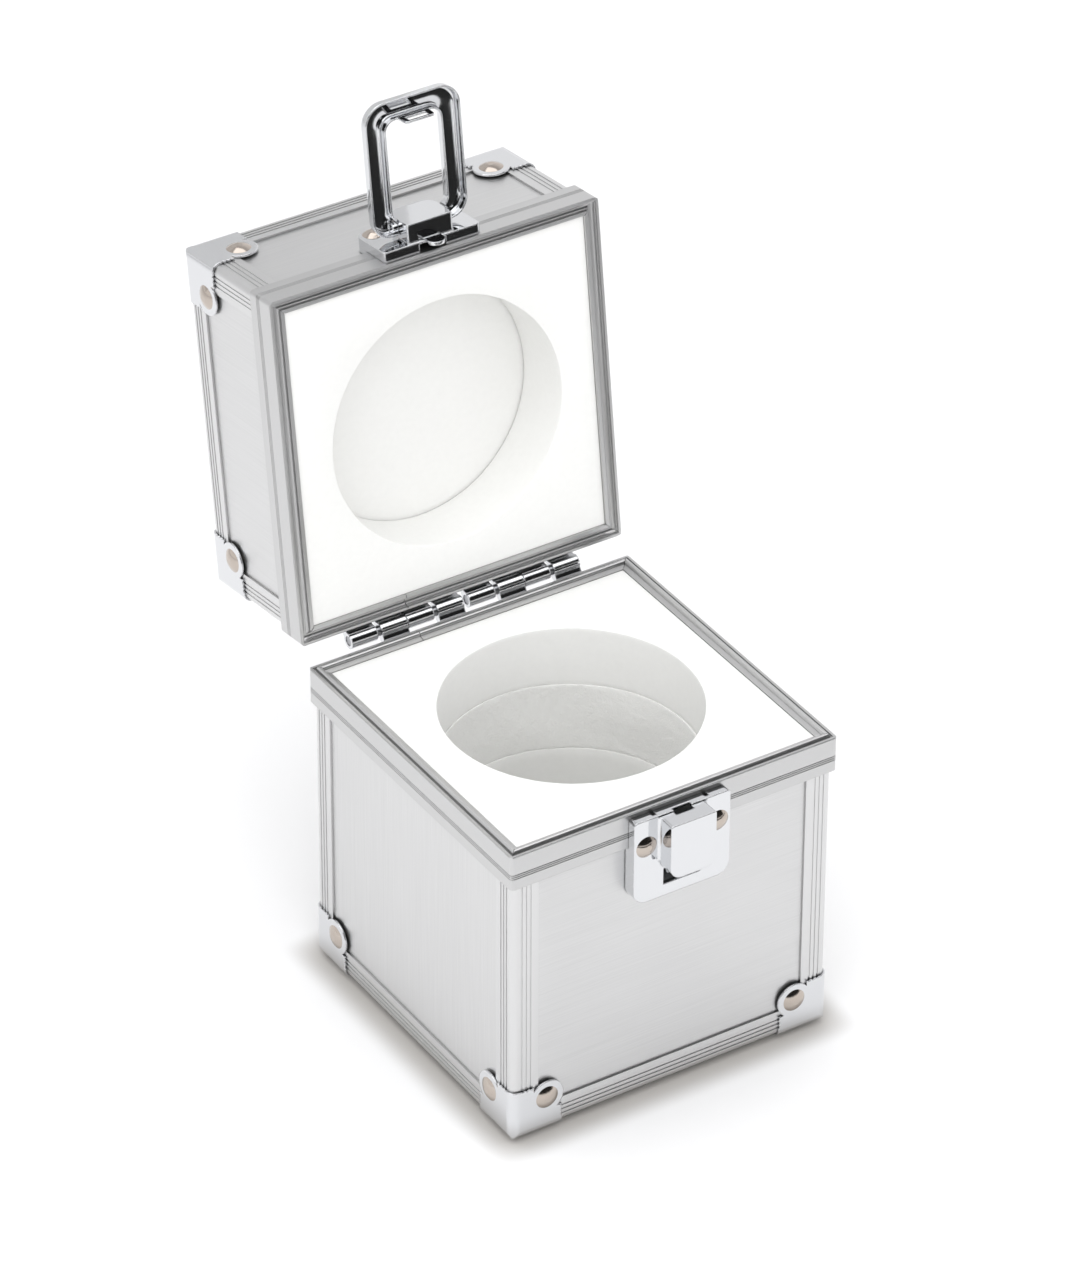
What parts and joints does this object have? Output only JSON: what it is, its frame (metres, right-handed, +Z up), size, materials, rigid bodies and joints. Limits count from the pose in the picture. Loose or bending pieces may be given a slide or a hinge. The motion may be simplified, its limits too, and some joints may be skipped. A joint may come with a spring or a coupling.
{
  "type": "aluminium instrument case",
  "caption": "Small nearly cubic aluminium case with a hinged lid, a folding handle hasp and foam rings bored to nest one round weight or instrument.",
  "frame": {"origin": "centre of the base on the plane it stands on", "axes": "+X to the case's right seen from the catch side, +Y to the hinge side, +Z up"},
  "size_m": [0.152, 0.2549, 0.3563],
  "materials": {
    "panel_aluminium": "fine brushed sheet on the faces of thin boards",
    "extrusion_aluminium": "bright anodised extrusion with fine flutes",
    "rim_aluminium": "satin anodised extrusion",
    "cap_steel": "polished plated pressing",
    "plated_steel": "polished plated pressing",
    "loop_steel": "mirror plated pressing",
    "rivet_steel": "nickel plated, slightly dull",
    "pin_steel": "bare ground rod",
    "spring_steel": "hardened strip",
    "foam": "white closed-cell polyethylene foam, fine cut face"
  },
  "bodies": {
    "base": {"base_floor_panel": "panel_aluminium", "base_front_panel": "panel_aluminium", "base_rear_panel": "panel_aluminium", "base_left_panel": "panel_aluminium", "base_right_panel": "panel_aluminium", "base_post_front_left": "extrusion_aluminium", "base_post_front_right": "extrusion_aluminium", "base_post_rear_left": "extrusion_aluminium", "base_post_rear_right": "extrusion_aluminium", "base_edge_front": "extrusion_aluminium", "base_edge_rear": "extrusion_aluminium", "base_edge_left": "extrusion_aluminium", "base_edge_right": "extrusion_aluminium", "base_rim": "rim_aluminium", "base_cap_front_left": "cap_steel", "base_cap_front_right": "cap_steel", "base_cap_rear_left": "cap_steel", "base_cap_rear_right": "cap_steel", "base_cap_rivets": "rivet_steel", "catch_plate": "plated_steel", "catch_pawl_pin": "pin_steel", "catch_rivets": "rivet_steel", "hinge_left_base_leaf": "plated_steel", "hinge_right_base_leaf": "plated_steel", "hinge_left_pin": "pin_steel", "hinge_right_pin": "pin_steel", "base_hinge_rivets": "rivet_steel", "base_foam_top_ring": "foam", "base_foam_middle_ring": "foam", "base_foam_low_ring": "foam", "base_foam_floor": "foam"},
    "lid": {"lid_top_panel": "panel_aluminium", "lid_front_panel": "panel_aluminium", "lid_rear_panel": "panel_aluminium", "lid_left_panel": "panel_aluminium", "lid_right_panel": "panel_aluminium", "lid_post_front_left": "extrusion_aluminium", "lid_post_front_right": "extrusion_aluminium", "lid_post_rear_left": "extrusion_aluminium", "lid_post_rear_right": "extrusion_aluminium", "lid_edge_front": "extrusion_aluminium", "lid_edge_rear": "extrusion_aluminium", "lid_edge_left": "extrusion_aluminium", "lid_edge_right": "extrusion_aluminium", "lid_rim": "rim_aluminium", "lid_cap_front_left": "cap_steel", "lid_cap_front_right": "cap_steel", "lid_cap_rear_left": "cap_steel", "lid_cap_rear_right": "cap_steel", "lid_cap_rivets": "rivet_steel", "hinge_left_lid_leaf": "plated_steel", "hinge_right_lid_leaf": "plated_steel", "lid_hinge_rivets": "rivet_steel", "hasp_plate": "plated_steel", "hasp_rivets": "rivet_steel", "lid_foam_ring": "foam", "lid_foam_backing": "foam"},
    "hasp_loop": {"hasp_loop": "loop_steel"},
    "catch_pawl": {"catch_pawl": "spring_steel"}
  },
  "joints": [
    {"name": "lid_hinge", "type": "hinge", "parent": "base", "child": "lid", "pos_m": [0, 0.0802, 0.1416], "axis": [1, 0, 0], "range_deg": [0, 97.5]},
    {"name": "hasp_hinge", "type": "hinge", "parent": "lid", "child": "hasp_loop", "pos_m": [0, 0.1119, 0.30274], "axis": [1, 0, 0], "range_deg": [-75, 90]},
    {"name": "pawl_flex", "type": "hinge", "parent": "base", "child": "catch_pawl", "pos_m": [0, -0.0843, 0.1149], "axis": [1, 0, 0], "range_deg": [0, 9], "stiffness_Nm_per_rad": 0.02, "springref_deg": -8.59}
  ]
}
